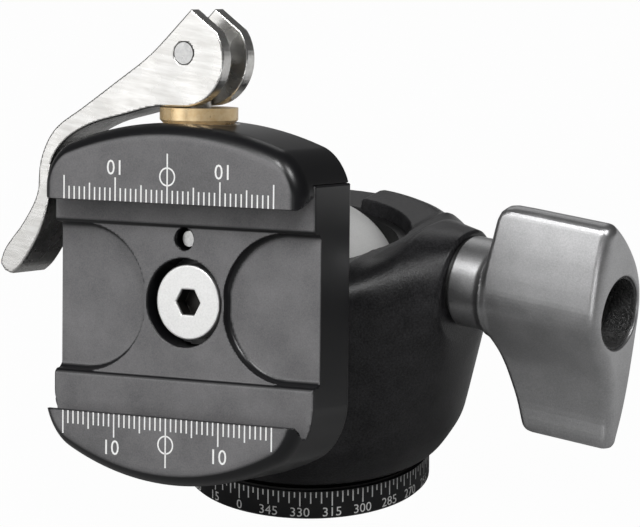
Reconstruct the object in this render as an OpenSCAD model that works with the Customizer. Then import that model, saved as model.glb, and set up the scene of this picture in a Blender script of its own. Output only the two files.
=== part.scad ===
// Tripod ball head with a lever-release dovetail clamp.
// Millimetres, +Z up. The origin is the centre of the base's underside, +X is the axis of the main
// knob, and the ball tilts towards -Y, where the housing has its drop notch.

/* [Base] */
// Radius of the indexed panning base
base_r = 20.65; // [19:0.05:22]
// Height of the panning base under the housing
base_h = 5; // [4.5:0.1:6]
// Radius of the base's spindle, which carries the housing
spindle_r = 11; // [10:0.1:12]
// Wall radius of the 3/8-16 tripod socket
socket_r = 4; // [3.9:0.05:4.2]
// Depth of the tripod socket
socket_depth = 9; // [7:0.5:10]
// Outer radius of the threaded steel insert
insert_r = 6.4; // [5.5:0.1:7]

/* [Housing] */
// Height of the saddle that carries the main knob
saddle_z = 44.5; // [44:0.1:46]
// Height of the shoulder on the far side of the saddle
shoulder_z = 42.8; // [42.4:0.1:43.4]
// Greatest radius of the housing
belly_r = 26; // [25.6:0.1:26.8]
// Radius of the saddle's flat top
saddle_r = 21.3; // [20.5:0.1:22.5]
// Radius of the shoulder's edge
shoulder_r = 25.4; // [25:0.1:25.8]
// Radius of the bore that the ball sits in
chamber_r = 16.6; // [16.2:0.1:17]
// Radius of the flared mouth at the saddle's top
mouth_r = 17.05; // [17.05:0.05:18]
// Thickness of the floor under the ball chamber
floor_t = 6.8; // [6:0.1:7.5]
// Reach of the knob boss from the ball's centre line
boss_x = 30.8; // [30:0.1:32]
// Radius of the knob boss
boss_r = 8; // [7.8:0.1:9]
// Gap between the stem and each side of the drop notch
notch_gap = 0.6; // [0.4:0.1:1]

/* [Ball] */
// Radius of the ball
ball_r = 15.3; // [15:0.05:15.5]
// Height of the ball's centre
ball_z = 33.63; // [33.2:0.01:34]
// Tilt of the stem from upright, towards the notch
tilt = 77; // [70:1:88]
// Turn of the clamp about the stem
spin = 7.8; // [-20:0.1:20]
// Radius of the stem
stem_r = 7.5; // [7:0.1:7.6]
// Radius of the flange under the clamp
flange_r = 11.9; // [11.7:0.1:12]
// Thickness of the flange under the clamp
flange_t = 1.5; // [1.2:0.1:1.6]
// Radius of the spigot that holds the stem in the ball
spigot_r = 5; // [4.5:0.1:5.5]

/* [Clamp] */
// Thickness of the clamp from the jaw tops to its back
clamp_t = 15.2; // [14.6:0.1:15.3]
// Half the length of the clamp
clamp_half = 24.9; // [24:0.1:27]
// Distance from the clamp screw to the lip of the fixed jaw
fixed_lip = 18.03; // [17.5:0.05:18.5]
// Distance from the clamp screw to the lip of the moving jaw
moving_lip = 16.03; // [15.8:0.05:16.3]
// Reach of the fixed jaw beyond the clamp screw
fixed_reach = 29.2; // [28.5:0.1:30]
// Reach of the moving jaw beyond the clamp screw
moving_reach = 28.85; // [28.6:0.05:29.5]
// Radius of the fixed jaw's outer arc
fixed_arc_r = 44; // [40:1:60]
// Radius of the moving jaw's outer arc
moving_arc_r = 58; // [50:1:70]
// Distance from the clamp screw to the seam of the moving jaw
seam = 19.75; // [19.5:0.05:20]
// Width of the gap at the seam
seam_gap = 0.1; // [0.05:0.05:0.2]
// Depth of the ledges that a camera plate rests on
ledge_depth = 4.4; // [4.2:0.1:4.8]
// Step from the ledges down to the deck
deck_step = 0.5; // [0.3:0.1:0.8]
// Half the width of the deck between the ledges
deck_half = 12; // [11.9:0.1:12.5]
// Depth of the end pockets below the deck
pocket_depth = 1.5; // [1:0.1:1.8]
// Radius of the end pockets' round inner ends
pocket_r = 12; // [11:0.1:12]
// Height of the straight lip above the dovetail's undercut
lip_h = 1.1; // [0.8:0.1:1.4]
// Depth of the dovetail's undercut
undercut = 2.07; // [1.8:0.01:2.1]
// Rounding at the outer edges of the jaws
jaw_round = 2.8; // [2:0.1:3]

/* [Clamp screw] */
// Radius of the counterbore for the clamp screw
counterbore_r = 7.15; // [6.8:0.05:7.3]
// Radius of the clamp screw's head
screw_head_r = 6.05; // [5.5:0.05:6.2]
// Depth of the screw head's top below the jaw tops
screw_depth = 6.1; // [5.8:0.1:6.5]
// Height of the screw's head
screw_head_h = 3; // [2.5:0.1:3.2]
// Radius of the screw's shank
screw_r = 3; // [2.5:0.1:3]
// Size of the screw's hexagon socket across its flats
hex_af = 4; // [3:0.5:5]
// Distance from the screw to the anti-twist pin
pin_offset = 10.2; // [10:0.05:10.3]
// Radius of the anti-twist pin
pin_r = 1.25; // [1:0.05:1.4]

/* [Lever] */
// Distance from the clamp screw to the lever's pivot
pivot_v = 39.9; // [39.6:0.1:40.4]
// Depth of the lever's middle plane below the jaw tops
lever_w = 9; // [8.8:0.1:9.2]
// Thickness of the lever
lever_t = 9.4; // [9:0.1:9.6]
// Width of the slot between the lever's two cams
slot_w = 4.6; // [4.2:0.1:5]
// Radius of the lever's pivot pin
lever_pin_r = 1.75; // [1.5:0.05:2]
// Distance from the pivot to the cam's flat when the lever is closed
cam_drop = 8.6; // [8.4:0.05:8.7]
// Radius of the bronze cam washer
washer_r = 6.3; // [6:0.1:6.4]
// Thickness of the bronze cam washer
washer_t = 2.55; // [2.4:0.05:2.6]
// Radius of the pull rod
rod_r = 2; // [1.8:0.1:2.1]

/* [Main knob] */
// Height of the knob's axis
knob_z = 41; // [40.8:0.05:41.2]
// Reach of the knob's end face from the ball's centre line
knob_end = 59.3; // [57:0.1:62]
// Radius of the knob's neck
neck_r = 7.6; // [7.4:0.1:7.9]
// Radius of the knob's body around its axis
knob_r = 7.7; // [7.5:0.1:8]
// Reach of the knob's short wing above its axis
short_wing = 15.6; // [14.5:0.1:17]
// Reach of the knob's long wing below its axis
long_wing = 23.6; // [20:0.1:24]
// Radius of the recess in the knob's end
recess_r = 6; // [5:0.1:6.2]
// Radius of the knob's threaded shaft
shaft_r = 4; // [3.5:0.1:4.2]
// Pitch of the shaft's thread
shaft_pitch = 1.25; // [1:0.25:1.5]

/* [Pan lock] */
// Height of the pan lock's axis
pan_lock_z = 9; // [8.8:0.1:9.2]
// Radius of the pan lock's knob
pan_knob_r = 6.5; // [5.5:0.1:7]
// Length of the pan lock's knob
pan_knob_len = 9; // [7:0.5:11]
// Radius of the pan lock's screw
pan_screw_r = 2.5; // [2:0.1:2.6]

/* [Fits] */
// Clearance of a turning or sliding fit, on the radius
run_gap = 0.05; // [0.03:0.01:0.08]
// Gap at faces that pass each other
face_gap = 0.05; // [0.04:0.01:0.1]
// Gap between a curved seat and the ball
seat_gap = 0.06; // [0.05:0.01:0.1]
// Gap between the stem's flange and the belly when the stem lies level
flange_gap = 0.15; // [0.1:0.05:0.6]

/* [Hidden] */
$fn = 96;

// Levels of the pan joint, from the ground up
pan_washer_t = 0.35;
housing_z = base_h + pan_washer_t + face_gap;
floor_z = housing_z + floor_t;
spindle_z = floor_z + face_gap;
base_chamfer = 0.4;
groove_depth = 1.2;
groove_half = 2.2;
retainer_t = 1.2;
retainer_r = 14.4;
retainer_bore_r = 5;
retainer_screw_r = 1.25;
retainer_head_r = 2.3;
retainer_head_h = 1.1;
retainer_screw_depth = 4.5;
retainer_pitch_r = (insert_r + spindle_r - groove_depth) / 2;

rim_round = 5;
rim_steps = 4;
// Housing outline: each ring is its height, its radius and its shift towards the knob
body_rings = [
    [housing_z, base_r + 0.35, 0],
    [housing_z + 2.6, base_r + 2.1, 0.8],
    [housing_z + 7.6, belly_r - 1, 1.6],
    [housing_z + 14.6, belly_r, 2.2],
    for (i = [0 : rim_steps]) let (a = 90 * i / rim_steps)
        [shoulder_z - rim_round * (1 - sin(a)), shoulder_r + 0.5 - rim_round * (1 - cos(a)), 0]
];
ring_t = 0.01;
saddle_edge = -0.4;
mouth_z = shoulder_z - 0.7;
boss_edge = 0.6;
boss_root_x = 22;
boss_root_r = 12.4;
boss_root_drop = 2.4;
hump_start = mouth_r + 0.55;
hump_full = boss_x - 4.3;
hump_span = hump_full - hump_start + 0.7;
notch_half = stem_r + notch_gap;
cut_len = knob_end;

// Ball seats
ring_top = mouth_z - 0.1;
ring_rise = 2.6;
ring_bottom = ball_z + ring_rise;
ring_lip_r = 15.06;
ring_fit = 0.05;
ring_contact_rise = 5.8;
ring_contact_z = ball_z + ring_contact_rise;
seat_foot_z = floor_z + 0.55;
seat_drop = 6.1;
seat_top = ball_z - seat_drop;
seat_foot_in = retainer_r + 0.4;
seat_floor_z = spindle_z + retainer_t + retainer_head_h + 0.6;
seat_hole_r = 5;

// Brake shoe and the knob's thrust
shoe_half = 4.5;
shoe_bottom = ring_bottom + 0.75;
shoe_top = knob_z - 0.45;
shoe_back_top = ring_top - 0.05;
shoe_back = chamber_r + 0.7;
shoe_back_t = 0.55;
knob_turn = 120;
shoe_travel = shaft_pitch * knob_turn / 360;
tip_gap = shoe_travel + 0.03;
tip_x = shoe_back + tip_gap;
tip_r = 1;
tip_len = 2;
tip_cone = 2.4;
bushing_x = tip_x + tip_len + tip_cone + 0.4;
bushing_r = 6;
shaft_reach = 18.7;
shaft_end = boss_x + shaft_reach;

// Main knob
thrust_washer_t = 0.5;
neck_x = boss_x + thrust_washer_t + face_gap;
neck_len = 6.2;
lobe_x = neck_x + neck_len;
wing_tip_r = 1.9;
long_tip_r = 1.6;
wing_lean = 5.2;
// Rounded edges of the wings: distance from the face and how far the outline is drawn in there
edge_rings = [[0, 1], [0.45, 0.4], [1.5, 0]];
recess_depth = 6.4;
plug_wall = 0.4;
plug_floor = 1.2;

// Pan lock
pan_seat_x = base_r + 3.15;
pan_shoe_r = 1.9;
pan_shoe_in = spindle_r - groove_depth + face_gap;
pan_shoe_len = 4.55;
pan_shoe_out = pan_shoe_in + pan_shoe_len;
pan_shoe_head = spindle_r + 0.4;
pan_pitch = 0.8;
pan_turn = 180;
pan_tip = pan_shoe_out + pan_pitch * pan_turn / 360 + 0.05;
pan_knob_x = pan_seat_x + 0.3;
pan_flutes = 12;
pan_flute_r = 0.9;

// Ball, stem and clamp levels along the stem
stem_seat = sqrt(ball_r * ball_r - stem_r * stem_r) - 0.05;
spigot_len = 8;
flange_back = belly_r + flange_gap;
clamp_back = flange_back + flange_t;
clamp_reach = clamp_back + clamp_t;
stem_fillet = 0.6;
screw_len = 12;

// Clamp body
corner_r = 5;
round_h = 3.2;
round_steps = 5;
arc_steps = 7;
corner_steps = 5;
back_edge = 0.4;
deck_depth = ledge_depth + deck_step;
pocket_floor = deck_depth + pocket_depth;
pocket_wall = 0.35;
pocket_u = counterbore_r + pocket_wall + pocket_r;
island_r = counterbore_r + 0.4;
screw_seat = screw_depth + screw_head_h;
pin_top = 6.4;
pin_well_r = 1.8;
pin_well_depth = 9;
jaw_lift = 0.15;
jaw_start = seam + seam_gap;

// Guide pins, springs and pull rod
guide_u = 15.5;
guide_r = 1.5;
guide_w = 9.5;
guide_in = 9;
guide_out = 24.4;
spring_u = 8.5;
spring_r = 1.7;
spring_wire = 0.5;
spring_in = 14.8;
spring_out = 24.3;
rod_in = pin_offset + pin_well_r + 0.8;
eye_r = 3.6;
eye_gap = 0.1;
pin_gap = 0.03;
washer_seat = moving_reach - 0.25;
washer_bore_r = rod_r + 0.3;
washer_chamfer = 0.6;

// Lever outline about its pivot: the cam's round side, its flats, and the handle's centre line
cam_r = 7.7;
cam_u = -0.28;
cam_v = -0.9;
cam_crown = [1.4, 7];
cam_shoulder = [-8.4, -2.4];
cam_flat = 6.4;
cam_heel = [-9, -8.9];
cam_arc_start = 36;
cam_arc_end = -88;
cam_steps = 24;
slot_back = 4.6;
handle_line = [[-3, -3.4], [-11.4, -7.2], [-18.7, -10.5], [-24.2, -13.9], [-26.9, -18.4], [-27.4, -24],
    [-29.8, -29.3], [-33.2, -33.9], [-35, -36.4]];
handle_half = [4.3, 2.9, 1.6, 1.35, 1.05, 1.25, 1.8, 2.1, 1.3];
handle_steps = 4;

// Colours of the finishes
c_housing = "#1e1e20";
c_clamp = "#37373a";
c_silver = "#c9c9c6";
c_bead = "#a9a9a9";
c_bronze = "#b8864b";
c_plastic = "#2a2a2a";
c_white = "#e8e6e0";

// Places the tilting parts, with Z along the stem and the ball's centre at the origin
module head_frame() {
    translate([0, 0, ball_z]) rotate([tilt, 0, 0]) rotate([0, 0, spin]) children();
}

// Places the clamp, with Z out of the jaws, Y towards the lever and the origin at the jaw tops
module clamp_frame() {
    head_frame() translate([0, 0, clamp_reach]) children();
}

// Turns a piece that is drawn along Z so that it lies along X, at the height given
module along_x(z) {
    translate([0, 0, z]) rotate([0, 90, 0]) children();
}

// Turns a piece that is drawn along Z so that it lies along Y, in the clamp's frame
module along_v(u, w) {
    translate([u, 0, w]) rotate([-90, 0, 0]) children();
}

// Extrudes a section, drawn across the clamp, along the clamp's length
module section_along_u(half) {
    rotate([90, 0, 90]) translate([0, 0, -half]) linear_extrude(2 * half) children();
}

module tube(r_out, r_in, h) {
    difference() {
        cylinder(r = r_out, h = h);
        translate([0, 0, -1]) cylinder(r = r_in, h = h + 2);
    }
}

// ---- Panning base ----

module panning_base() {
    color(c_housing) difference() {
        rotate_extrude() polygon([
            [0, 0], [base_r - base_chamfer, 0], [base_r, base_chamfer], [base_r, base_h],
            [spindle_r, base_h], [spindle_r, pan_lock_z - groove_half],
            [spindle_r - groove_depth, pan_lock_z - groove_half],
            [spindle_r - groove_depth, pan_lock_z + groove_half],
            [spindle_r, pan_lock_z + groove_half], [spindle_r, spindle_z], [0, spindle_z]
        ]);
        translate([0, 0, -1]) cylinder(r = insert_r, h = socket_depth + 1);
        retaining_screw_places() translate([0, 0, -retainer_screw_depth])
            cylinder(r = retainer_screw_r, h = retainer_screw_depth + 1);
    }
}

module thread_insert() {
    color(c_silver) tube(insert_r, socket_r, socket_depth);
}

module pan_bearing_washer() {
    color(c_plastic) translate([0, 0, base_h]) tube(base_r - 0.6, spindle_r + 0.1, pan_washer_t);
}

// Three screws on a circle, placed at the top of the spindle
module retaining_screw_places() {
    for (a = [90 : 120 : 330]) rotate([0, 0, a]) translate([retainer_pitch_r, 0, spindle_z]) children();
}

module pan_retaining_washer() {
    color(c_silver) difference() {
        translate([0, 0, spindle_z]) tube(retainer_r, retainer_bore_r, retainer_t);
        retaining_screw_places() translate([0, 0, -1]) cylinder(r = retainer_screw_r, h = retainer_t + 2);
    }
}

module retaining_screws() {
    color(c_silver) retaining_screw_places() {
        translate([0, 0, -retainer_screw_depth])
            cylinder(r = retainer_screw_r, h = retainer_screw_depth + retainer_t);
        translate([0, 0, retainer_t]) cylinder(r = retainer_head_r, h = retainer_head_h);
    }
}

// ---- Housing ----

// Disc across the knob's axis, for the boss
module boss_disc(x, r, z) {
    along_x(z) translate([0, 0, x - ring_t]) cylinder(r = r, h = ring_t, $fn = 32);
}

// Outer body: stacked rings, the saddle's flat and the boss, drawn into one smooth skin
module body_skin() {
    hull() {
        for (ring = body_rings)
            translate([ring[2], 0, ring[0]]) cylinder(r = ring[1], h = ring_t, $fn = 64);
        intersection() {
            translate([0, 0, saddle_z]) cylinder(r = saddle_r, h = ring_t, $fn = 64);
            translate([saddle_edge, -cut_len / 2, 0]) cube(cut_len);
        }
        boss_disc(boss_x, boss_r - boss_edge, knob_z);
        boss_disc(boss_x - boss_edge, boss_r, knob_z);
        boss_disc(boss_root_x, boss_root_r, knob_z - boss_root_drop);
    }
}

// Round hump over the knob's shaft, from the mouth's edge out to the end of the boss
function hump_r(x) = x > hump_full ? boss_r : boss_r * sqrt(1 - pow((hump_full - x) / hump_span, 2));

module knob_hump() {
    steps = 9;
    run = hump_full - hump_start;
    side = [for (i = [0 : steps]) let (x = hump_start + run * i / steps) [hump_r(x), x]];
    along_x(knob_z) rotate_extrude() polygon(concat([[0, hump_start]], side,
        [[boss_r, boss_x - boss_edge], [boss_r - boss_edge, boss_x], [0, boss_x]]));
}

// Flat-topped body with its step down from the saddle to the shoulder
module trimmed_body() {
    difference() {
        body_skin();
        translate([-cut_len, -cut_len, saddle_z]) cube(2 * cut_len);
        translate([saddle_edge - 2 * cut_len, -cut_len, shoulder_z]) cube(2 * cut_len);
    }
}

// Slot that the stem drops into, open to the front and to the top
module drop_notch() {
    translate([0, 0, ball_z]) rotate([90, 0, 0]) cylinder(r = notch_half, h = cut_len);
    translate([-notch_half, -cut_len, ball_z]) cube([2 * notch_half, cut_len, cut_len]);
}

// Round bores of the housing, all on its own axis
module housing_bores() {
    translate([0, 0, housing_z - 1]) cylinder(r = spindle_r + run_gap, h = floor_t + 2);
    rotate_extrude() polygon([[0, floor_z], [chamber_r, floor_z], [chamber_r, mouth_z],
        [mouth_r, saddle_z + 0.1], [mouth_r, saddle_z + cut_len], [0, saddle_z + cut_len]]);
}

// Stepped bore behind the boss and the pocket that the brake shoe slides in
module knob_bores() {
    along_x(knob_z) {
        translate([0, 0, tip_x - 1]) cylinder(r = tip_r + run_gap, h = tip_len + 1.5);
        translate([0, 0, tip_x + tip_len]) cylinder(r = shaft_r + 0.4, h = bushing_x - tip_x - tip_len);
        translate([0, 0, bushing_x]) cylinder(r = bushing_r, h = cut_len);
    }
    pocket_start = ball_r - 4;
    pocket_end = shoe_back + shoe_travel + 0.05;
    pocket_h = shoe_back_top - shoe_bottom + 2 * run_gap;
    translate([pocket_start, -shoe_half - run_gap, shoe_bottom - run_gap])
        cube([pocket_end - pocket_start, 2 * (shoe_half + run_gap), pocket_h]);
}

// Bore for the pan lock's screw and the flat that its knob faces
module pan_lock_bores() {
    mirror([1, 0, 0]) along_x(pan_lock_z) {
        cylinder(r = pan_screw_r + run_gap, h = cut_len);
        translate([0, 0, pan_seat_x]) cylinder(r = pan_knob_r + 0.6, h = cut_len);
    }
}

module housing() {
    color(c_housing) difference() {
        union() {
            trimmed_body();
            knob_hump();
        }
        drop_notch();
        housing_bores();
        knob_bores();
        pan_lock_bores();
    }
}

// ---- Ball seats ----

module ball_space() {
    translate([0, 0, ball_z]) sphere(r = ball_r + seat_gap);
}

module seat_spring_washer() {
    color(c_silver) translate([0, 0, floor_z]) tube(chamber_r - 0.2, seat_foot_in + 0.1, 0.5);
}

module lower_ball_seat() {
    color(c_white) difference() {
        rotate_extrude() polygon([
            [seat_foot_in, seat_foot_z], [chamber_r - ring_fit, seat_foot_z],
            [chamber_r - ring_fit, seat_top], [seat_hole_r, seat_top], [seat_hole_r, seat_floor_z],
            [seat_foot_in, seat_floor_z]
        ]);
        ball_space();
        drop_notch();
    }
}

module upper_ball_ring() {
    ring_in = sqrt(pow(ball_r + seat_gap, 2) - pow(ring_contact_z - ball_z, 2));
    color(c_plastic) difference() {
        rotate_extrude() polygon([
            [ring_in, ring_bottom], [chamber_r - ring_fit, ring_bottom],
            [chamber_r - ring_fit, ring_top], [ring_lip_r, ring_top], [ring_in, ring_contact_z]
        ]);
        ball_space();
        drop_notch();
        translate([0, -shoe_half - run_gap, shoe_bottom - run_gap])
            cube([cut_len, 2 * (shoe_half + run_gap), shoe_top - shoe_bottom + 2 * run_gap]);
    }
}

// ---- Main knob and brake ----

module brake_shoe() {
    color(c_white) difference() {
        union() {
            translate([ball_r - 3, -shoe_half, shoe_bottom])
                cube([shoe_back - ball_r + 3, 2 * shoe_half, shoe_top - shoe_bottom]);
            translate([shoe_back - shoe_back_t, -shoe_half, shoe_bottom])
                cube([shoe_back_t, 2 * shoe_half, shoe_back_top - shoe_bottom]);
        }
        ball_space();
    }
}

module shaft_bushing() {
    color(c_bronze) along_x(knob_z) translate([0, 0, bushing_x])
        tube(bushing_r, shaft_r + run_gap, boss_x - bushing_x - 0.2);
}

module knob_thrust_washer() {
    color(c_white) along_x(knob_z) translate([0, 0, boss_x])
        tube(neck_r - 0.4, shaft_r + 0.1, thrust_washer_t);
}

// Threaded shaft with a dog point that pushes the brake shoe
module knob_shaft() {
    color(c_silver) along_x(knob_z) rotate_extrude() polygon([
        [0, tip_x], [tip_r, tip_x], [tip_r, tip_x + tip_len],
        [shaft_r - 0.8, tip_x + tip_len + tip_cone], [shaft_r, bushing_x + 0.6],
        [shaft_r, shaft_end], [0, shaft_end]
    ]);
}

// Disc across the knob's axis, off it by y and z
module knob_disc(x, r, y, z) {
    translate([x, y, knob_z + z]) rotate([0, 90, 0]) cylinder(r = r, h = ring_t, $fn = 32);
}

// Slab across the knob's axis from x out to the end face, with rounded edges
module knob_slab(x, r, y, z) {
    for (edge = edge_rings) {
        knob_disc(x + edge[0], r - edge[1], y, z);
        knob_disc(knob_end - edge[0] - ring_t, r - edge[1], y, z);
    }
}

// Body and short wing, whose sides bulge a little
module short_wing_skin() {
    hull() {
        knob_slab(lobe_x, knob_r, -0.1, 0);
        knob_slab(lobe_x + 0.4, knob_r - 1.1, -0.4, 0.36 * short_wing);
        knob_slab(lobe_x + 1.2, wing_tip_r, -2.1, short_wing - wing_tip_r);
    }
}

// Long wing, whose inner edge leans away from the housing
module long_wing_skin() {
    hull() {
        knob_disc(lobe_x - 0.6, knob_r - 3.1, 0.4, -2.2);
        knob_slab(lobe_x + 1, knob_r - 2.1, 0.6, -2);
        knob_slab(lobe_x + 3.3, knob_r - 3.8, 1.2, -0.51 * long_wing);
        knob_slab(lobe_x + wing_lean, long_tip_r, -0.8, long_tip_r - long_wing);
    }
}

module main_knob() {
    color(c_bead) difference() {
        union() {
            along_x(knob_z) translate([0, 0, neck_x]) cylinder(r = neck_r, h = lobe_x - neck_x + 2);
            short_wing_skin();
            long_wing_skin();
        }
        along_x(knob_z) {
            translate([0, 0, neck_x - 1]) cylinder(r = shaft_r, h = shaft_end - neck_x + 1);
            translate([0, 0, knob_end - recess_depth]) cylinder(r = recess_r, h = recess_depth + 1);
        }
    }
}

// Black cup that lines the recess in the knob's end
module knob_end_plug() {
    color(c_plastic) along_x(knob_z) translate([0, 0, knob_end - recess_depth]) difference() {
        cylinder(r = recess_r, h = recess_depth - 0.5);
        translate([0, 0, plug_floor]) cylinder(r = recess_r - plug_wall, h = recess_depth);
    }
}

// ---- Pan lock ----

module pan_lock_axis() {
    mirror([1, 0, 0]) along_x(pan_lock_z) children();
}

module pan_lock_shoe() {
    color(c_bronze) difference() {
        pan_lock_axis() union() {
            translate([0, 0, pan_shoe_in - 1]) cylinder(r = pan_shoe_r, h = pan_shoe_len);
            translate([0, 0, pan_shoe_head])
                cylinder(r = pan_screw_r, h = pan_shoe_out - pan_shoe_head);
        }
        cylinder(r = pan_shoe_in, h = 2 * pan_lock_z);
    }
}

module pan_lock_screw() {
    color(c_silver) pan_lock_axis() translate([0, 0, pan_tip])
        cylinder(r = pan_screw_r, h = pan_knob_x + pan_knob_len - 2 - pan_tip);
}

module pan_lock_knob() {
    color(c_housing) difference() {
        pan_lock_axis() translate([0, 0, pan_knob_x]) difference() {
            cylinder(r = pan_knob_r, h = pan_knob_len);
            translate([0, 0, -1]) cylinder(r = pan_screw_r, h = pan_knob_len - 1);
            for (i = [0 : pan_flutes - 1]) rotate([0, 0, i * 360 / pan_flutes])
                translate([pan_knob_r + 0.3, 0, 1.5]) cylinder(r = pan_flute_r, h = pan_knob_len, $fn = 24);
        }
    }
}

// ---- Ball and stem ----

module ball() {
    color(c_white) head_frame() difference() {
        sphere(r = ball_r);
        translate([0, 0, stem_seat]) cylinder(r = stem_r + 1, h = ball_r);
        translate([0, 0, stem_seat - spigot_len - 0.1]) cylinder(r = spigot_r + run_gap, h = ball_r);
    }
}

module ball_stem() {
    foot = stem_seat + face_gap;
    mid = 0.4 * stem_fillet;
    color(c_silver) head_frame() difference() {
        rotate_extrude() polygon([
            [0, foot - spigot_len], [spigot_r, foot - spigot_len], [spigot_r, foot], [stem_r, foot],
            [stem_r, flange_back - stem_fillet], [stem_r + mid, flange_back - mid],
            [stem_r + stem_fillet, flange_back], [flange_r, flange_back], [flange_r, clamp_back],
            [0, clamp_back]
        ]);
        translate([0, 0, clamp_back - screw_len]) cylinder(r = screw_r, h = screw_len + 1);
        translate([0, pin_offset, flange_back - 1]) cylinder(r = pin_r, h = flange_t + 2);
    }
}

// ---- Clamp ----

// Half of the clamp's plan, from the near side out to a jaw's arc, drawn in by inset
function jaw_outline(reach, arc_r, near, inset) =
    let (
        arc_v = reach - arc_r,
        corner_u = clamp_half - corner_r,
        corner_v = arc_v + sqrt(pow(arc_r - corner_r, 2) - pow(corner_u, 2)),
        half_angle = asin(corner_u / (arc_r - corner_r)),
        arc = [for (i = [1 - arc_steps : arc_steps - 1]) let (a = half_angle * i / arc_steps)
            [(arc_r - inset) * sin(a), arc_v + (arc_r - inset) * cos(a)]],
        corner = [for (i = [0 : corner_steps]) let (a = (90 - half_angle) * i / corner_steps)
            [corner_u + (corner_r - inset) * cos(a), corner_v + (corner_r - inset) * sin(a)]]
    )
    concat([for (p = corner) [-p[0], p[1]]], arc, [for (i = [corner_steps : -1 : 0]) corner[i]],
        [[clamp_half - inset, near], [-clamp_half + inset, near]]);

module plan_layer(reach, arc_r, near, w, inset) {
    translate([0, 0, w]) linear_extrude(ring_t) polygon(jaw_outline(reach, arc_r, near, inset));
}

// Solid half of the clamp with its rounded upper edge
module jaw_block(reach, arc_r, near) {
    hull() {
        for (i = [0 : round_steps]) {
            a = 90 * i / round_steps;
            plan_layer(reach, arc_r, near, -round_h * (1 - cos(a)) - ring_t, jaw_round * (1 - sin(a)));
        }
        plan_layer(reach, arc_r, near, back_edge - clamp_t, 0);
        plan_layer(reach, arc_r, near, -clamp_t, back_edge);
    }
}

// Space between the jaws, with the undercut of the fixed one
module dovetail_channel() {
    wall = fixed_lip + undercut;
    section_along_u(clamp_half + 1) polygon([
        [-fixed_lip, 1], [-fixed_lip, -lip_h], [-wall, -lip_h - undercut], [-wall, -ledge_depth],
        [seam + 1, -ledge_depth], [seam + 1, 1]
    ]);
    section_along_u(clamp_half + 1) polygon([
        [-deck_half - deck_step, -ledge_depth + 0.1], [-deck_half - deck_step, -ledge_depth],
        [-deck_half, -deck_depth], [deck_half, -deck_depth], [deck_half + deck_step, -ledge_depth],
        [deck_half + deck_step, -ledge_depth + 0.1]
    ]);
}

// Pockets at both ends of the deck, cut clear of the screw's counterbore
module end_pockets() {
    difference() {
        for (side = [-1, 1]) {
            translate([side * pocket_u, 0, -pocket_floor]) cylinder(r = pocket_r, h = pocket_depth + 1);
            translate([side > 0 ? pocket_u : -pocket_u - 2 * pocket_r, -pocket_r, -pocket_floor])
                cube([2 * pocket_r, 2 * pocket_r, pocket_depth + 1]);
        }
        translate([0, 0, -pocket_floor - 1]) cylinder(r = island_r, h = pocket_depth + 3);
    }
}

module guide_places() {
    for (side = [-1, 1]) along_v(side * guide_u, -guide_w) children();
}

module spring_places() {
    for (side = [-1, 1]) along_v(side * spring_u, -guide_w) children();
}

module clamp_body() {
    color(c_clamp) clamp_frame() difference() {
        mirror([0, 1, 0]) jaw_block(fixed_reach, fixed_arc_r, -seam);
        dovetail_channel();
        end_pockets();
        translate([0, 0, -screw_seat]) cylinder(r = counterbore_r, h = screw_seat + 1);
        translate([0, 0, -clamp_t - 1]) cylinder(r = screw_r + 0.3, h = clamp_t);
        translate([0, pin_offset, -pin_well_depth]) cylinder(r = pin_well_r, h = pin_well_depth);
        translate([0, pin_offset, -clamp_t - 1]) cylinder(r = pin_r, h = clamp_t);
        along_v(0, -lever_w) translate([0, 0, rod_in]) cylinder(r = rod_r, h = seam);
        guide_places() translate([0, 0, guide_in]) cylinder(r = guide_r, h = seam);
        spring_places() translate([0, 0, spring_in]) cylinder(r = spring_r + 0.15, h = seam);
    }
}

// Everything below the moving jaw's lip and on the body's side of the seam
module moving_jaw_undercut() {
    wall = moving_lip + undercut;
    lift = ledge_depth - jaw_lift;
    section_along_u(clamp_half + 1) polygon([
        [moving_lip - 1, 1 - lip_h], [wall, -lip_h - undercut], [wall, -lift],
        [jaw_start, -lift], [jaw_start, -clamp_t - 1], [moving_lip - 1, -clamp_t - 1]
    ]);
}

module moving_jaw() {
    color(c_clamp) clamp_frame() difference() {
        jaw_block(moving_reach, moving_arc_r, moving_lip);
        moving_jaw_undercut();
        along_v(0, -lever_w) {
            cylinder(r = rod_r + 0.25, h = cut_len);
            translate([0, 0, washer_seat]) cylinder(r = washer_r + 0.3, h = cut_len);
        }
        guide_places() cylinder(r = guide_r + run_gap, h = guide_out + 0.1);
        spring_places() cylinder(r = spring_r + 0.15, h = spring_out + 0.1);
    }
}

module jaw_guide_pins() {
    color(c_silver) clamp_frame() guide_places() translate([0, 0, guide_in])
        cylinder(r = guide_r, h = guide_out - guide_in);
}

module jaw_springs() {
    color(c_silver) clamp_frame() spring_places() translate([0, 0, spring_in])
        tube(spring_r, spring_r - spring_wire, spring_out - spring_in);
}

module clamp_screw() {
    color(c_silver) clamp_frame() difference() {
        union() {
            translate([0, 0, -screw_seat]) cylinder(r = screw_head_r, h = screw_head_h);
            translate([0, 0, 0.5 - clamp_t - screw_len])
                cylinder(r = screw_r, h = clamp_t + screw_len - screw_seat);
        }
        translate([0, 0, -screw_depth - 2]) cylinder(r = hex_af / sqrt(3), h = 3, $fn = 6);
    }
}

module antitwist_pin() {
    color(c_silver) clamp_frame() translate([0, pin_offset, -clamp_t - flange_t + 0.1])
        cylinder(r = pin_r, h = clamp_t + flange_t - 0.1 - pin_top);
}

module pull_rod() {
    color(c_silver) clamp_frame() difference() {
        union() {
            along_v(0, -lever_w) translate([0, 0, rod_in]) cylinder(r = rod_r, h = pivot_v - rod_in);
            translate([0, pivot_v, -lever_w - slot_w / 2 + eye_gap])
                cylinder(r = eye_r, h = slot_w - 2 * eye_gap);
        }
        translate([0, pivot_v, -lever_w - slot_w]) cylinder(r = lever_pin_r + pin_gap, h = 2 * slot_w);
    }
}

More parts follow.
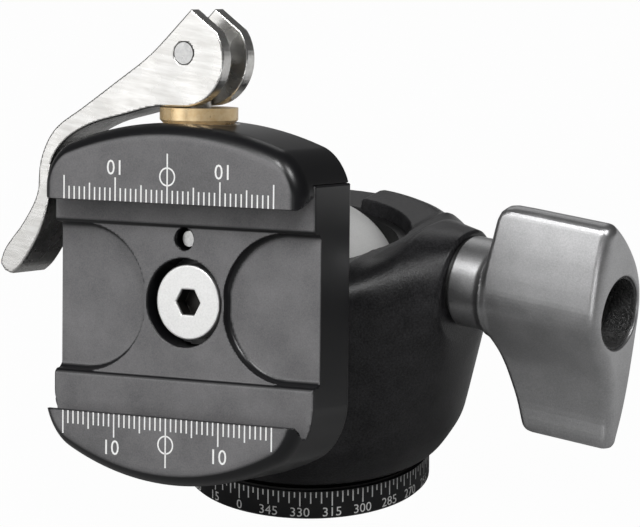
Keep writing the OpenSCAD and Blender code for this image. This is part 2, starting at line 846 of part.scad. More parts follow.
// Bronze washer that the cams bear on, chamfered towards the jaw
module cam_washer() {
    color(c_bronze) clamp_frame() along_v(0, -lever_w) translate([0, 0, washer_seat])
        rotate_extrude() polygon([
            [washer_bore_r, 0], [washer_r - washer_chamfer, 0], [washer_r, washer_chamfer],
            [washer_r, washer_t], [washer_bore_r, washer_t]
        ]);
}

// ---- Lever ----

// Smooth curve through a list of points, or of numbers
function spline(list, i, t) =
    let (
        n = len(list) - 1,
        a = list[max(i - 1, 0)], b = list[i], c = list[min(i + 1, n)], d = list[min(i + 2, n)]
    )
    0.5 * (2 * b + (c - a) * t + (2 * a - 5 * b + 4 * c - d) * t * t + (3 * b - a - 3 * c + d) * t * t * t);

// Points along one side of the handle: side is 1 or -1
function handle_side(side) =
    let (n = len(handle_line) - 1)
    [for (i = [0 : n - 1], k = [0 : handle_steps - 1])
        let (
            t = k / handle_steps,
            here = spline(handle_line, i, t),
            ahead = spline(handle_line, i, t + 0.05) - here,
            across = [-ahead[1], ahead[0]] / norm(ahead)
        )
        here + side * spline(handle_half, i, t) * across];

module handle_plan() {
    tip = handle_line[len(handle_line) - 1];
    far_side = handle_side(-1);
    polygon(concat(handle_side(1), [tip], [for (i = [len(far_side) - 1 : -1 : 0]) far_side[i]]));
}

// Cam and head of the lever: a round side, a flat crown and the flat that holds the clamp shut
module cam_plan() {
    turn = cam_arc_end - cam_arc_start;
    round_side = [for (i = [0 : cam_steps]) let (a = cam_arc_start + turn * i / cam_steps)
        [cam_u + cam_r * cos(a), cam_v + cam_r * sin(a)]];
    flat_side = [[cam_u, -cam_drop], [-cam_flat, -cam_drop]];
    polygon(concat([cam_crown], round_side, flat_side, [cam_heel, cam_shoulder]));
}

module cam_lever() {
    color(c_silver) clamp_frame() translate([0, pivot_v, -lever_w]) difference() {
        translate([0, 0, -lever_t / 2]) linear_extrude(lever_t) union() {
            cam_plan();
            handle_plan();
        }
        translate([-slot_back, -2 * cam_r, -slot_w / 2]) cube([4 * cam_r, 4 * cam_r, slot_w]);
        translate([0, 0, -lever_t]) cylinder(r = lever_pin_r, h = 2 * lever_t);
    }
}

module lever_pin() {
    color(c_silver) clamp_frame() translate([0, pivot_v, -lever_w - lever_t / 2 + 0.1])
        cylinder(r = lever_pin_r, h = lever_t - 0.2);
}

panning_base();
thread_insert();
pan_bearing_washer();
pan_retaining_washer();
retaining_screws();
housing();
seat_spring_washer();
lower_ball_seat();
upper_ball_ring();
brake_shoe();
shaft_bushing();
knob_shaft();
knob_thrust_washer();
main_knob();
knob_end_plug();
pan_lock_screw();
pan_lock_knob();
pan_lock_shoe();
ball();
ball_stem();
clamp_body();
jaw_guide_pins();
jaw_springs();
pull_rod();
moving_jaw();
cam_washer();
clamp_screw();
antitwist_pin();
cam_lever();
lever_pin();
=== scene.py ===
"""Tripod ball head: skins, scales and finishes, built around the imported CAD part.

Lengths are in millimetres, and put_mesh() turns them into metres. A place is given as x, y and z in the
frame, or as u, v and w on the clamp: along the jaws, across them and out of them, from the jaw tops.
A shape is a field of distances to its surface, below 0 inside, and its skin is worked out on a grid.
"""

import math

import bpy
import numpy as np
from mathutils import Matrix, Vector


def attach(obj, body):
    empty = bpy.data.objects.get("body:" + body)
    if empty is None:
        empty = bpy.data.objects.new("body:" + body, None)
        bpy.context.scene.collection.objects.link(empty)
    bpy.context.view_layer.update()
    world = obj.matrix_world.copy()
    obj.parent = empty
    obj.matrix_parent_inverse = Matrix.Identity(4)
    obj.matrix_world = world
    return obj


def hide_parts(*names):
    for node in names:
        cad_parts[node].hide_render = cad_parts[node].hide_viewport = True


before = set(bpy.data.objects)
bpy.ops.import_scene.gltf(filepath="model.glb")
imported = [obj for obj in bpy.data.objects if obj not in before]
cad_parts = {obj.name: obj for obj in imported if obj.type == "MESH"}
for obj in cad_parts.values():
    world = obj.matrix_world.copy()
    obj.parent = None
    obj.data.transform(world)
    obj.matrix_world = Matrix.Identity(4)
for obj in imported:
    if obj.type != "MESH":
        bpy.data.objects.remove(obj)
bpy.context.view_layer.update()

MM = 0.001

# ---- Sizes shared with the CAD part ----
BALL_Z = 33.63
TILT = math.radians(77)
SPIN = math.radians(7.8)
# Ball's centre to the jaw tops, along the stem
REACH = 42.85
# Height of the main knob's shaft
KNOB_Z = 41.0
# Depth of the clamp, and half its length along the jaws
CLAMP_T = 15.2
HALF = 24.9
# Lever's pivot from the clamp's middle, and the depth of the lever's middle below the jaw tops
PIVOT_V = 39.9
LEVER_W = 9.0

# Clamp's own axes in the world: along the jaws, across them, and out of them
CLAMP_U = np.array([math.cos(SPIN), math.sin(SPIN) * math.cos(TILT), math.sin(SPIN) * math.sin(TILT)])
CLAMP_V = np.array([-math.sin(SPIN), math.cos(SPIN) * math.cos(TILT), math.cos(SPIN) * math.sin(TILT)])
CLAMP_N = np.array([0.0, -math.sin(TILT), math.cos(TILT)])


def clamp_place(p):
    """Points given on the clamp, in the world: the ball's centre plus a length along each clamp axis."""
    over = np.array([0, 0, BALL_Z]) + CLAMP_N * (REACH + p[:, 2:3])
    return over + CLAMP_U * p[:, 0:1] + CLAMP_V * p[:, 1:2]


def as_drawn(p):
    """Points that are already in the world."""
    return p


# ---- Camera ----
# Direction from the object to the lens, the turn of the picture's level line about Z, and the camera's roll
CAMERA_BACK = np.array([0.508163, -0.792460, 0.337309])
CAMERA_TURN = math.radians(32.67)
CAMERA_ROLL = math.radians(0.248)
CAMERA_AT = (0.331420, -0.513409, 0.256766)
LENS_MM = 217.59
SENSOR_MM = 36.0


def set_camera():
    """Camera at the photograph's place: its level line is turned about Z, and its axes are then rolled."""
    side = np.array([math.cos(CAMERA_TURN), math.sin(CAMERA_TURN), 0.0])
    over = np.cross(CAMERA_BACK, side)
    right = math.cos(CAMERA_ROLL) * side + math.sin(CAMERA_ROLL) * over
    up = math.cos(CAMERA_ROLL) * over - math.sin(CAMERA_ROLL) * side
    lens = bpy.data.cameras.new("photo_camera")
    lens.lens = LENS_MM
    lens.sensor_width = SENSOR_MM
    lens.clip_start, lens.clip_end = 0.01, 20.0
    camera = bpy.data.objects.new("photo_camera", lens)
    turn = Matrix([[right[i], up[i], CAMERA_BACK[i]] for i in range(3)]).to_4x4()
    turn.translation = CAMERA_AT
    camera.matrix_world = turn
    bpy.context.collection.objects.link(camera)
    bpy.context.scene.camera = camera


set_camera()

# ---- Finishes ----
# Noise values over which a colour runs from dark to light, in grain and in drawn marks, and a roughness from
# least to most
GRAIN_SPAN = (0.36, 0.64)
MARK_SPAN = (0.35, 0.65)
MOTTLE_SPAN = (0.3, 0.7)
# Share of the fine grain in a grained finish's colour, of which the broad mottle has the rest
FINE_SHARE = 0.65
# Detail and roughness of a fine grain's noise
GRAIN_WAVES = (3.0, 0.7)
# Noises as waves to the millimetre, detail and roughness: broad mottles of the grained finishes, of the
# clamp's and of the lever's, and the lever's marks
MOTTLE = (0.25, 4.0, 0.55)
CLAMP_MOTTLE = (0.12, 4.0, 0.6)
LEVER_MOTTLE = (0.2, 3.0, 0.5)
LEVER_MARKS = (1.2, 5.0, 0.7)


def shader(name, colour, metallic, roughness, **more):
    """New material with one Principled shader, and its nodes and links."""
    made = bpy.data.materials.new(name)
    made.use_nodes = True
    nodes, links = made.node_tree.nodes, made.node_tree.links
    nodes.clear()
    out = nodes.new("ShaderNodeOutputMaterial")
    surface = nodes.new("ShaderNodeBsdfPrincipled")
    surface.inputs["Base Color"].default_value = (*colour, 1)
    surface.inputs["Metallic"].default_value = metallic
    surface.inputs["Roughness"].default_value = roughness
    for socket, value in more.items():
        surface.inputs[socket.replace("_", " ")].default_value = value
    links.new(surface.outputs[0], out.inputs["Surface"])
    return made, nodes, links, surface


def place_node(nodes, links, scale=(1, 1, 1), turn=(0, 0, 0)):
    """Object coordinates, turned and stretched."""
    where = nodes.new("ShaderNodeTexCoord")
    mapping = nodes.new("ShaderNodeMapping")
    mapping.inputs["Scale"].default_value = scale
    mapping.inputs["Rotation"].default_value = turn
    links.new(where.outputs["Object"], mapping.inputs["Vector"])
    return mapping.outputs["Vector"]


def noise_node(nodes, links, vector, per_mm, detail, rough):
    """Noise with a number of waves to the millimetre, and its finer waves' count and strength."""
    noise = nodes.new("ShaderNodeTexNoise")
    noise.inputs["Scale"].default_value = per_mm / MM
    noise.inputs["Detail"].default_value = detail
    noise.inputs["Roughness"].default_value = rough
    links.new(vector, noise.inputs["Vector"])
    return noise.outputs["Fac"]


def ramp_node(nodes, links, value, span, start, end):
    """Map a value's span to start and end, flat outside."""
    ramp = nodes.new("ShaderNodeMapRange")
    for socket, number in zip(("From Min", "From Max", "To Min", "To Max"), (*span, start, end)):
        ramp.inputs[socket].default_value = number
    links.new(value, ramp.inputs["Value"])
    return ramp.outputs["Result"]


def math_node(nodes, links, operation, *values):
    """Result of an operation on values, each of which is a number or another node's value."""
    made = nodes.new("ShaderNodeMath")
    made.operation = operation
    for socket, value in zip(made.inputs, values):
        if isinstance(value, float):
            socket.default_value = value
        else:
            links.new(value, socket)
    return made.outputs[0]


def mix_colour(nodes, links, factor, dark, light):
    """Mix of two colours, each of which is three numbers or another node's colour."""
    mix = nodes.new("ShaderNodeMix")
    mix.data_type = "RGBA"
    for socket, colour in ((6, dark), (7, light)):
        if isinstance(colour, tuple):
            mix.inputs[socket].default_value = (*colour, 1)
        else:
            links.new(colour, mix.inputs[socket])
    links.new(factor, mix.inputs["Factor"])
    return mix.outputs[2]


def mean_node(nodes, links, a, b, share):
    """Weighted mean of two values: share of the first and the rest of the second."""
    rest = math_node(nodes, links, "MULTIPLY", b, 1 - share)
    return math_node(nodes, links, "MULTIPLY_ADD", a, share, rest)


def mask_node(nodes, mask):
    """Share that a piece's own attribute gives each point, 0 where the piece has none."""
    read = nodes.new("ShaderNodeAttribute")
    read.attribute_name = mask
    return read.outputs["Fac"]


def bump_node(nodes, links, height, depth, surface):
    """Relief on a shader's surface, depth millimetres where the height is 1."""
    bump = nodes.new("ShaderNodeBump")
    bump.inputs["Strength"].default_value = 1.0
    bump.inputs["Distance"].default_value = depth * MM
    links.new(height, bump.inputs["Height"])
    links.new(bump.outputs["Normal"], surface.inputs["Normal"])


def grained(name, dark, light, metallic, roughness, grain, depth, **more):
    """Finish with a fine grain: its colour varies with the grain and a broad mottle, its roughness with the
    mottle, and its relief with the grain."""
    made, nodes, links, surface = shader(name, light, metallic, sum(roughness) / 2, **more)
    vector = place_node(nodes, links)
    fine = noise_node(nodes, links, vector, grain, *GRAIN_WAVES)
    broad = noise_node(nodes, links, vector, *MOTTLE)
    spread = ramp_node(nodes, links, mean_node(nodes, links, fine, broad, FINE_SHARE), GRAIN_SPAN, 0, 1)
    links.new(mix_colour(nodes, links, spread, dark, light), surface.inputs["Base Color"])
    links.new(ramp_node(nodes, links, broad, MOTTLE_SPAN, *roughness), surface.inputs["Roughness"])
    bump_node(nodes, links, fine, depth, surface)
    return made


def drawn_steel(name, dark, light, roughness, stretch, turn, depth):
    """Metal with fine straight marks: noise stretched along one direction gives colour and relief."""
    made, nodes, links, surface = shader(name, light, 1.0, sum(roughness) / 2)
    marks = noise_node(nodes, links, place_node(nodes, links, stretch, turn), *LEVER_MARKS)
    broad = noise_node(nodes, links, place_node(nodes, links), *LEVER_MOTTLE)
    spread = ramp_node(nodes, links, marks, MARK_SPAN, 0, 1)
    links.new(mix_colour(nodes, links, spread, dark, light), surface.inputs["Base Color"])
    links.new(ramp_node(nodes, links, broad, MOTTLE_SPAN, *roughness), surface.inputs["Roughness"])
    bump_node(nodes, links, marks, depth, surface)
    return made


def anodise_with_painted_sheen(name, black, dark, light, metal, grain):
    """Black anodise, with a grey grain painted as a sheen of light where the flats' mask is 1, and metal
    where bare is 1. The same mask makes the flats rougher and their relief stronger.
    """
    made, nodes, links, surface = shader(name, light, 0.0, 0.5, Specular_IOR_Level=0.5)
    vector = place_node(nodes, links)
    fine = noise_node(nodes, links, vector, grain, *GRAIN_WAVES)
    broad = noise_node(nodes, links, vector, *CLAMP_MOTTLE)
    spread = ramp_node(nodes, links, mean_node(nodes, links, fine, broad, 0.5), GRAIN_SPAN, 0, 1)
    grey = mix_colour(nodes, links, spread, dark, light)
    flats_with_painted_sheen, bare = mask_node(nodes, "flats_with_painted_sheen"), mask_node(nodes, "bare")
    plain = mix_colour(nodes, links, flats_with_painted_sheen, black, grey)
    links.new(mix_colour(nodes, links, bare, plain, metal), surface.inputs["Base Color"])
    links.new(bare, surface.inputs["Metallic"])
    links.new(ramp_node(nodes, links, flats_with_painted_sheen, (0, 1), 0.30, 0.52), surface.inputs["Roughness"])
    strength = ramp_node(nodes, links, flats_with_painted_sheen, (0, 1), 0.15, 1.0)
    bump_node(nodes, links, math_node(nodes, links, "MULTIPLY", fine, strength), 0.012, surface)
    return made


def plated(name, dark, light, shade):
    """Bright plating with a fine grain, and painted shade, a dark colour, where the mask shaded is 1."""
    made, nodes, links, surface = shader(name, light, 0.75, 0.38)
    fine = noise_node(nodes, links, place_node(nodes, links), 3.0, *GRAIN_WAVES)
    clean = mix_colour(nodes, links, ramp_node(nodes, links, fine, GRAIN_SPAN, 0, 1), dark, light)
    with_painted_shade = mix_colour(nodes, links, mask_node(nodes, "shaded"), clean, shade)
    links.new(with_painted_shade, surface.inputs["Base Color"])
    bump_node(nodes, links, fine, 0.002, surface)
    return made


# Each grained finish: dark and light colour, metallic, least and most roughness, grains to the millimetre,
# and relief in millimetres
powder_coat = grained("black_powder_coat", (0.003, 0.003, 0.0035), (0.030, 0.0293, 0.0315),
                      0.0, (0.29, 0.35), 3.2, 0.04, Specular_IOR_Level=0.32)
black_anodise = grained("black_anodise", (0.006, 0.006, 0.007), (0.012, 0.012, 0.013),
                        0.0, (0.30, 0.38), 5.0, 0.006)
# Clamp: black anodise, with painted sheen in grey on the flats that face out, and bare metal under the cam's
# washer.
clamp_anodise = anodise_with_painted_sheen("clamp_anodise", (0.004, 0.004, 0.005), (0.098, 0.097, 0.100),
                         (0.182, 0.179, 0.183), (0.62, 0.61, 0.60), 4.5)
bead_metal = grained("bead_blasted_metal", (0.37, 0.37, 0.375), (0.50, 0.50, 0.505),
                     1.0, (0.34, 0.38), 4.0, 0.012)
ball_coat = grained("ball_satin_anodise", (0.76, 0.76, 0.75), (0.84, 0.84, 0.83),
                    0.0, (0.35, 0.42), 4.0, 0.004)
black_polymer = grained("black_polymer", (0.007, 0.007, 0.007), (0.013, 0.013, 0.013),
                        0.0, (0.30, 0.42), 2.5, 0.01)
pale_polymer = grained("pale_polymer", (0.70, 0.69, 0.65), (0.80, 0.79, 0.75),
                       0.0, (0.45, 0.55), 1.5, 0.004)
# Knob's end cup: black with a strong real relief, and light grains in its colour that are painted glints.
cup_with_painted_glints = grained("black_with_painted_glints", (0.006, 0.006, 0.006), (0.14, 0.14, 0.14),
                      0.2, (0.20, 0.32), 2.4, 0.30)
# The screw's third colour is painted shade for the inside of its socket.
bright_screw = plated("bright_plating", (0.84, 0.84, 0.83), (0.93, 0.93, 0.92), (0.030, 0.028, 0.026))
bronze = grained("turned_bronze", (0.80, 0.56, 0.28), (0.92, 0.72, 0.44),
                 0.55, (0.24, 0.34), 1.2, 0.008)
turned_steel = grained("turned_steel", (0.42, 0.42, 0.42), (0.60, 0.60, 0.59),
                       1.0, (0.25, 0.35), 1.5, 0.004)
stem_metal = grained("stem_metal", (0.45, 0.45, 0.45), (0.58, 0.58, 0.57),
                     1.0, (0.30, 0.38), 2.0, 0.004)
lever_steel = drawn_steel("lever_steel", (0.60, 0.59, 0.57), (0.74, 0.735, 0.72),
                          (0.22, 0.32), (0.12, 1, 1), (0, math.radians(35), 0), 0.003)
scale_paint, _, _, _ = shader("scale_paint", (0.90, 0.90, 0.89), 0.0, 0.6)


# ---- Joins of distance fields ----
def both(a, b, r=0.0):
    """Where a and b both are, with the outer edge rounded to radius r: the greater distance, or where both
    are within r of their surfaces, the distance to an arc of that radius."""
    if r <= 0:
        return np.maximum(a, b)
    return np.minimum(-r, np.maximum(a, b)) + np.hypot(np.maximum(a + r, 0), np.maximum(b + r, 0))


def either(a, b, r=0.0):
    """Where a or b is, with the inner corner filled to radius r."""
    return -both(-a, -b, r)


def without(a, b, r=0.0):
    """Where a is and b isn't, with the cut's edge rounded to radius r."""
    return both(a, -b, r)


def polygon_field(x, y, corners):
    """Distance to a closed polygon: the least distance to its sides, below 0 inside by the even-odd rule."""
    corners = np.asarray(corners, float)
    least = np.full(np.broadcast(x, y).shape, 1e9)
    inside = np.zeros(least.shape, bool)
    for (ax, ay), (bx, by) in zip(corners, np.roll(corners, -1, axis=0)):
        ex, ey = bx - ax, by - ay
        t = np.clip(((x - ax) * ex + (y - ay) * ey) / (ex * ex + ey * ey), 0, 1)
        least = np.minimum(least, np.hypot(x - ax - t * ex, y - ay - t * ey))
        if ay != by:
            inside ^= ((ay > y) != (by > y)) & (x < ax + ex * (y - ay) / ey)
    return np.where(inside, -least, least)


def eased(t):
    """Share that rises from 0 to 1 as t does, with level ends: 3 t squared less 2 t cubed."""
    t = np.clip(t, 0, 1)
    return t ** 2 * (3 - 2 * t)


def slope_of(field, points, h):
    """Slope of a field by central differences over h, which is its outward direction."""
    steps = h * np.eye(3)
    return np.stack([field(*(points + one).T) - field(*(points - one).T) for one in steps], axis=1) / (2 * h)


# ---- Meshes ----
def put_mesh(name, points, faces, body, finish, replaces=(), place=as_drawn, smooth=True):
    """Piece from points in millimetres and faces as rows of point numbers."""
    mesh = bpy.data.meshes.new(name)
    faces = np.asarray(faces, np.int64)
    count, corners = faces.shape
    mesh.vertices.add(len(points))
    mesh.vertices.foreach_set("co", (place(np.asarray(points, float)) * MM).ravel())
    mesh.loops.add(count * corners)
    mesh.loops.foreach_set("vertex_index", faces.ravel())
    mesh.polygons.add(count)
    mesh.polygons.foreach_set("loop_start", np.arange(count) * corners)
    mesh.polygons.foreach_set("use_smooth", np.full(count, smooth))
    mesh.update(calc_edges=True)
    mesh.validate()
    piece = bpy.data.objects.new(name, mesh)
    bpy.context.collection.objects.link(piece)
    piece.data.materials.append(finish)
    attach(piece, body)
    if replaces:
        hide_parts(*replaces)
    return piece


def cell_points(value, axes, step):
    """One point in each grid cell that the surface crosses, at the mean of the crossings on the cell's sides,
    and each cell's point number, -1 where it has none."""
    inner = value < 0
    shape = np.array(value.shape) - 1

    def corner(array, i, j, k):
        return array[i:shape[0] + i, j:shape[1] + j, k:shape[2] + k]

    total = np.zeros((*shape, 3))
    count = np.zeros(shape)
    base = np.stack(np.meshgrid(*[axis[:-1] for axis in axes], indexing="ij"), axis=-1)
    for one in np.ndindex(2, 2, 2):
        for axis in range(3):
            if one[axis]:
                continue
            two = tuple(one[n] + (n == axis) for n in range(3))
            start, end = corner(value, *one), corner(value, *two)
            crossed = corner(inner, *one) != corner(inner, *two)
            share = np.where(crossed, start / np.where(crossed, start - end, 1), 0)
            for n in range(3):
                along = one[n] + (share if n == axis else 0)
                total[..., n] += np.where(crossed, base[..., n] + step * along, 0)
            count += crossed
    active = count > 0
    number = np.full(shape, -1, np.int64)
    number[active] = np.arange(active.sum())
    return total[active] / count[active][:, None], number


def cell_faces(inner, number):
    """One face round each grid line that the surface crosses, through the four cells that meet at the line,
    turned so that it faces out."""
    faces = []
    for axis in range(3):
        first = [slice(None)] * 3
        second = [slice(None)] * 3
        first[axis], second[axis] = slice(0, -1), slice(1, None)
        where = np.argwhere(inner[tuple(first)] != inner[tuple(second)])
        n, m = (axis + 1) % 3, (axis + 2) % 3
        where = where[(where[:, n] > 0) & (where[:, m] > 0)]
        outward = inner[tuple(where.T)]
        ring = []
        for a, b in ((-1, -1), (0, -1), (0, 0), (-1, 0)):
            cell = where.copy()
            cell[:, n] += a
            cell[:, m] += b
            ring.append(number[tuple(cell.T)])
        quad = np.stack(ring, axis=1)
        quad[~outward] = quad[~outward][:, ::-1]
        faces.append(quad)
    return np.concatenate(faces)


def skin_of(field, low, high, step):
    """Skin of a distance field on a grid, its points drawn on to the surface along the field's slope in four
    moves of about half a step at most."""
    axes = [np.arange(a, b + step, step) for a, b in zip(low, high)]
    shape = np.array([len(axis) for axis in axes])
    value = np.broadcast_to(field(*np.meshgrid(*axes, indexing="ij", sparse=True)), shape)
    points, number = cell_points(value, axes, step)
    for _ in range(4):
        here = field(*points.T)
        slope = slope_of(field, points, step * 0.05)
        steep = np.maximum((slope ** 2).sum(axis=1), 0.05)
        points -= np.clip(here / steep, -step / 2, step / 2)[:, None] * slope
    return points, cell_faces(value < 0, number)


def put_skin(name, field, low, high, step, body, finish, replaces, place=as_drawn, masks=None):
    """Piece made of a field's skin. Each corner of a face is shaded with the field's slope a third of the way
    to the face's middle, so that edges look crisp, and masks give each corner a share of a second colour,
    which is painted sheen on the clamp's flats, painted shade in the screw's socket, and bare metal on the
    washer's flat."""
    points, faces = skin_of(field, low, high, step)
    piece = put_mesh(name, points, faces, body, finish, replaces, place)
    middle = points[faces].mean(axis=1)
    near = (points[faces] + (middle[:, None] - points[faces]) / 3).reshape(-1, 3)
    slope = slope_of(field, near, 0.02)
    slope /= np.maximum(np.sqrt((slope ** 2).sum(axis=1)), 1e-6)[:, None]
    piece.data.normals_split_custom_set(place(near + slope) - place(near))
    for mask, share in (masks or {}).items():
        layer = piece.data.attributes.new(mask, "FLOAT", "CORNER")
        layer.data.foreach_set("value", share(*near.T, *slope.T).astype(np.float32))


def turned(profile, sides):
    """Solid turned about Z: the profile's (radius, height) pairs, bottom first, carried round the axis."""
    profile = np.asarray(profile, float)
    angle = np.linspace(0, 2 * math.pi, sides, endpoint=False)
    radius, height = profile[:, 0:1], profile[:, 1:2]
    points = np.stack([radius * np.cos(angle), radius * np.sin(angle), height + 0 * angle], axis=-1)
    i, j = np.meshgrid(np.arange(len(profile)), np.arange(sides), indexing="ij")
    here, above = i * sides, (i + 1) % len(profile) * sides
    after = (j + 1) % sides
    quads = np.stack([here + j, here + after, above + after, above + j], axis=-1)
    return points.reshape(-1, 3), quads.reshape(-1, 4)


def curve_through(points, steps):
    """Smooth curve through points: on each stretch, a cubic through both ends with the slopes they share."""
    p = np.asarray(points, float)
    a, b, c, d = p[[0, *range(len(p) - 2)]], p[:-1], p[1:], p[[*range(2, len(p)), -1]]
    t = np.linspace(0, 1, steps, endpoint=False)[:, None, None]
    bend, twist = 2 * a - 5 * b + 4 * c - d, 3 * b - a - 3 * c + d
    out = 0.5 * (2 * b + (c - a) * t + bend * t ** 2 + twist * t ** 3)
    return out.transpose(1, 0, 2).reshape(-1, p.shape[1])


# ---- Housing ----
FOOT_Z = 5.4
RIM_Z = 44.5
# Height of the rim's lower part, away from the knob, and the step's place along the shaft
SADDLE_Z = 42.8
STEP_X = -0.4
# Boss that the shaft comes out of: its face, its radius there, and where its ramp begins on the rim
BOSS_X = 30.8
BOSS_R = 8.0
RAMP_X = 17.6
# Rings of the outer form, as height, radius and shift towards the knob
RINGS = ((FOOT_Z, 21.0, 0.0), (8.0, 22.75, 0.8), (13.0, 25.0, 1.6), (20.0, 26.0, 2.2), (37.8, 25.9, 0.0),
         (50.0, 25.9, 0.0))
# Discs of the boss, as reach along the shaft, radius and height
BOSS_DISCS = ((31.8, 7.9, KNOB_Z), (22.0, 12.4, KNOB_Z - 2.4))


def hull_table():
    """Radius of the pear-shaped outer form for each direction and height: rays from the axis meet the tangent
    planes of the rings and the discs, and the least distance is kept, then smoothed three times."""
    azimuths = np.radians(np.linspace(-180, 180, 181)[:-1])
    elevations = np.radians(np.linspace(-84, 84, 113))
    a, e = np.meshgrid(azimuths, elevations)
    d = np.stack([np.cos(e) * np.cos(a), np.cos(e) * np.sin(a), np.sin(e)], axis=-1).reshape(-1, 3)
    reach = np.full(len(d), -1e9)
    for z, r, x in RINGS:
        reach = np.maximum(reach, d[:, 0] * x + d[:, 2] * z + r * np.hypot(d[:, 0], d[:, 1]))
    for x, r, z in BOSS_DISCS:
        reach = np.maximum(reach, d[:, 0] * x + d[:, 2] * z + r * np.hypot(d[:, 1], d[:, 2]))
    theta = np.radians(np.arange(0, 360, 1.5))
    level = np.arange(4.0, 47.01, 0.75)
    ray = np.stack([np.cos(theta), np.sin(theta)], axis=1) @ d[:, :2].T
    radius = np.empty((len(theta), len(level)))
    for k, z in enumerate(level):
        room = reach - d[:, 2] * z
        radius[:, k] = np.where(ray > 1e-3, room / np.maximum(ray, 1e-3), 1e9).min(axis=1)
    for _ in range(3):
        radius = 0.25 * np.roll(radius, 1, 0) + 0.5 * radius + 0.25 * np.roll(radius, -1, 0)
        radius[:, 1:-1] = 0.25 * radius[:, :-2] + 0.5 * radius[:, 1:-1] + 0.25 * radius[:, 2:]
    return theta, level, radius


THETA, LEVEL, RADIUS = hull_table()


def blend_weights(f):
    """Weights of four table entries in a row at the share f between the middle two: a cubic B-spline."""
    return ((1 - f) ** 3 / 6, (3 * f ** 3 - 6 * f ** 2 + 4) / 6, (-3 * f ** 3 + 3 * f ** 2 + 3 * f + 1) / 6,
            f ** 3 / 6)


def pear_field(x, y, z):
    """Outer wall of the housing: the distance from the axis less the table's radius, read between its entries
    with a cubic blend, and a little under the true distance because the wall leans."""
    turn = (np.arctan2(y, x) % (2 * math.pi)) / (THETA[1] - THETA[0])
    rise = np.clip((z - LEVEL[0]) / (LEVEL[1] - LEVEL[0]), 1, len(LEVEL) - 3.001)
    i, k = np.floor(turn).astype(int), np.floor(rise).astype(int)
    radius = 0
    for m, wm in enumerate(blend_weights(turn - i), -1):
        for n, wn in enumerate(blend_weights(rise - k), -1):
            radius = radius + wm * wn * RADIUS[(i + m) % len(THETA), k + n]
    return (np.hypot(x, y) - radius) * 0.95


def pot_field(x, y, z):
    """Housing's outer form up to its rim: the wall under the rim's plane, whose edge is rounder at the front
    than at the back, and away from the knob the wall under a lower plane. The parts overlap at the step."""
    wall = pear_field(x, y, z)
    front_edge, back_edge, low_edge, step_edge = 8.0, 3.6, 1.0, 0.8
    low_end, step_foot, full_start = 0.6, 41, 0.4
    front = eased((2 - y) / 14)
    full = front * both(wall, z - RIM_Z, front_edge) + (1 - front) * both(wall, z - RIM_Z, back_edge)
    step = both(full, both(STEP_X - x, step_foot - z), step_edge)
    low = both(both(wall, z - SADDLE_Z, low_edge), x - low_end)
    return np.minimum(low, np.minimum(step, both(full, full_start - x)))


def ramp_field(x, y, z):
    """Ramp from the rim to the boss: across the shaft an ellipse whose half width shrinks and whose half
    height grows towards the boss, and squarer on the far side, by a higher power of its two shares."""
    half_width = BOSS_R + 0.55 * (BOSS_X - x)
    half_height = 3.2 + 4.8 * eased((x - RAMP_X) / 6.2)
    power = 2.0 + 0.5 * np.clip((y + 1) / 5, 0, 1)
    shares = (np.abs(y) / half_width) ** power + (np.abs(z - KNOB_Z) / half_height) ** power
    return both((shares ** (1 / power) - 1) * half_height, RAMP_X - x)


def housing_field(x, y, z):
    """Housing: pot and ramp, cut flat at the boss and the foot, less the mouth, the core, the notch for the
    stem, the shaft's bores with the brake shoe's pocket, and the pan lock's hole and recess."""
    body = either(pot_field(x, y, z), ramp_field(x, y, z) * 0.8, 3.0)
    body = both(body, x - BOSS_X, 0.6)
    body = both(body, FOOT_Z - z, 0.4)

    mouth_r, flare_z, flare, seat_z, core_r = 16.6, 42.1, 0.1875, 12.2, 11.05
    r = np.hypot(x, y)
    mouth = np.where(z > flare_z, mouth_r + (z - flare_z) * flare, mouth_r)
    body = without(body, both(r - mouth, seat_z - z, 0.3), 0.25)
    body = without(body, r - core_r, 0.2)

    notch_r = 8.1
    notch = either(np.hypot(x, z - BALL_Z) - notch_r, both(np.abs(x) - notch_r, BALL_Z - z))
    body = without(body, both(notch, y), 0.7)

    bushing_r, bushing_x, point_r, point_x = 6.0, 22.4, 1.1, 17.3
    shaft = np.hypot(y, z - KNOB_Z)
    body = without(body, both(shaft - bushing_r, bushing_x - x), 0.2)
    body = without(body, both(shaft - point_r, point_x - x))
    shoe_z, shoe_half_y, shoe_half_z, shoe_in, shoe_out = 39.5, 4.75, 2.75, 10, 17.95
    shoe_sides = np.maximum(np.abs(y) - shoe_half_y, np.abs(z - shoe_z) - shoe_half_z)
    body = without(body, both(shoe_sides, np.maximum(shoe_in - x, x - shoe_out)))

    lock_z, lock_r, recess_r, recess_x = 9.0, 2.55, 7.1, -23.8
    lock = np.hypot(y, z - lock_z)
    body = without(body, both(lock - lock_r, x), 0.1)
    return without(body, both(lock - recess_r, x - recess_x), 0.3)


# ---- Main knob ----
# Knob seen along its shaft, as sideways and upwards distances from the axis: up the near side, over the short
# wing, down the far side and round the long wing's tip
KNOB_ROUND = curve_through([
    (-0.8, -23.55), (-2.1, -22.9), (-2.45, -21.4), (-2.2, -17.8), (-2.65, -12.7), (-3.5, -9.3), (-5.9, -5.1),
    (-7.45, -1.6), (-7.7, 1.0), (-7.25, 4.0), (-6.6, 7.0), (-5.85, 10.0), (-4.9, 12.8), (-3.9, 14.8),
    (-2.2, 15.55), (-0.6, 14.9), (2.8, 11.6), (5.8, 7.5), (7.35, 3.8), (7.75, 0.5), (7.5, -2.3), (6.9, -4.8),
    (6.0, -8.4), (4.5, -13.8), (2.85, -18.2), (1.1, -21.7), (0.4, -23.0), (-0.8, -23.55)], 4)
